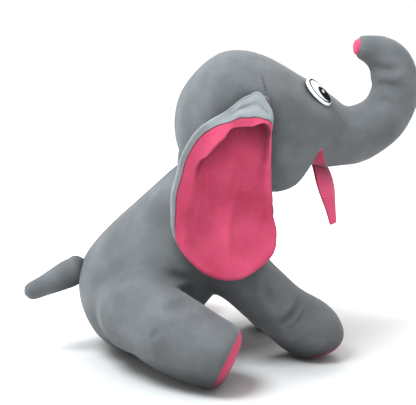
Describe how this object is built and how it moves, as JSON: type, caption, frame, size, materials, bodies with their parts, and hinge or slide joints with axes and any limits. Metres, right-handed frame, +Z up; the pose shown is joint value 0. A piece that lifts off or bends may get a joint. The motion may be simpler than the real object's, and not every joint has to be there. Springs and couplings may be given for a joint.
{
  "type": "plush elephant",
  "caption": "Seated stuffed toy elephant with cupped ears, an upturned trunk, sewn fabric skins, soft filling and a jointed head, trunk, tongue, legs and tail.",
  "frame": {"origin": "on the floor under the middle of the seated animal, in its plane of near symmetry", "axes": "+X the way it faces, along its greatest length; +Y its left; +Z up"},
  "size_m": [0.3677, 0.2734, 0.2906],
  "materials": {
    "grey_pile": "short cut pile",
    "pink_pile": "short cut pile",
    "stuffing": "matt fibre",
    "eye_plastic": "polished",
    "washer_plastic": "moulded"
  },
  "bodies": {
    "torso": {"torso_side_left": "grey_pile", "torso_side_right": "grey_pile", "belly_gusset": "grey_pile", "torso_stuffing": "stuffing"},
    "head": {"face_left": "grey_pile", "face_right": "grey_pile", "head_back_left": "grey_pile", "head_back_right": "grey_pile", "head_stuffing": "stuffing", "mouth_lining": "pink_pile", "eye_left": "eye_plastic", "eye_right": "eye_plastic", "eye_washer_left": "washer_plastic", "eye_washer_right": "washer_plastic"},
    "trunk": {"trunk_left": "grey_pile", "trunk_right": "grey_pile", "trunk_stuffing": "stuffing", "trunk_tip": "pink_pile"},
    "tongue": {"tongue": "pink_pile"},
    "ear_left": {"ear_back_left": "grey_pile", "ear_lining_left": "pink_pile"},
    "ear_right": {"ear_back_right": "grey_pile", "ear_lining_right": "pink_pile"},
    "front_leg_left": {"front_leg_left_skin": "grey_pile", "front_leg_left_stuffing": "stuffing", "front_leg_left_sole": "pink_pile"},
    "front_leg_right": {"front_leg_right_skin": "grey_pile", "front_leg_right_stuffing": "stuffing", "front_leg_right_sole": "pink_pile"},
    "hind_leg_left": {"hind_leg_left_skin": "grey_pile", "hind_leg_left_stuffing": "stuffing", "hind_leg_left_sole": "pink_pile"},
    "hind_leg_right": {"hind_leg_right_skin": "grey_pile", "hind_leg_right_stuffing": "stuffing", "hind_leg_right_sole": "pink_pile"},
    "tail": {"tail_skin": "grey_pile", "tail_stuffing": "stuffing"}
  },
  "joints": [
    {"name": "head_nod", "type": "hinge", "parent": "torso", "child": "head", "pos_m": [0.0145, 0, 0.212], "axis": [0, 1, 0], "range_deg": [-12, 12], "stiffness_Nm_per_rad": 4},
    {"name": "trunk_lift", "type": "hinge", "parent": "head", "child": "trunk", "pos_m": [0.0935, 0, 0.202], "axis": [0, 1, 0], "range_deg": [-10, 10], "stiffness_Nm_per_rad": 1.5},
    {"name": "tongue_flap", "type": "hinge", "parent": "head", "child": "tongue", "pos_m": [0.0925, 0, 0.1632], "axis": [0, 1, 0], "range_deg": [-35, 15], "stiffness_Nm_per_rad": 0.05},
    {"name": "ear_left_swing", "type": "hinge", "parent": "head", "child": "ear_left", "pos_m": [0.027, 0.064, 0.232], "axis": [0.287, 0, -0.9579], "range_deg": [0, 100]},
    {"name": "ear_right_swing", "type": "hinge", "parent": "head", "child": "ear_right", "pos_m": [0.027, -0.064, 0.232], "axis": [-0.287, 0, 0.9579], "range_deg": [0, 100]},
    {"name": "front_leg_left_swing", "type": "hinge", "parent": "torso", "child": "front_leg_left", "pos_m": [-0.003, 0.035, 0.09], "axis": [0, 1, 0], "range_deg": [-15, 15], "stiffness_Nm_per_rad": 2.5},
    {"name": "front_leg_right_swing", "type": "hinge", "parent": "torso", "child": "front_leg_right", "pos_m": [-0.003, -0.035, 0.09], "axis": [0, 1, 0], "range_deg": [-15, 15], "stiffness_Nm_per_rad": 2.5},
    {"name": "hind_leg_left_swing", "type": "hinge", "parent": "torso", "child": "hind_leg_left", "pos_m": [-0.081, 0.05, 0.051], "axis": [0, 1, 0], "range_deg": [-15, 15], "stiffness_Nm_per_rad": 2.5},
    {"name": "hind_leg_right_swing", "type": "hinge", "parent": "torso", "child": "hind_leg_right", "pos_m": [-0.081, -0.05, 0.051], "axis": [0, 1, 0], "range_deg": [-15, 15], "stiffness_Nm_per_rad": 2.5},
    {"name": "tail_wag", "type": "hinge", "parent": "torso", "child": "tail", "pos_m": [-0.1355, 0, 0.078], "axis": [0, 0, 1], "range_deg": [-30, 30], "stiffness_Nm_per_rad": 0.05}
  ]
}
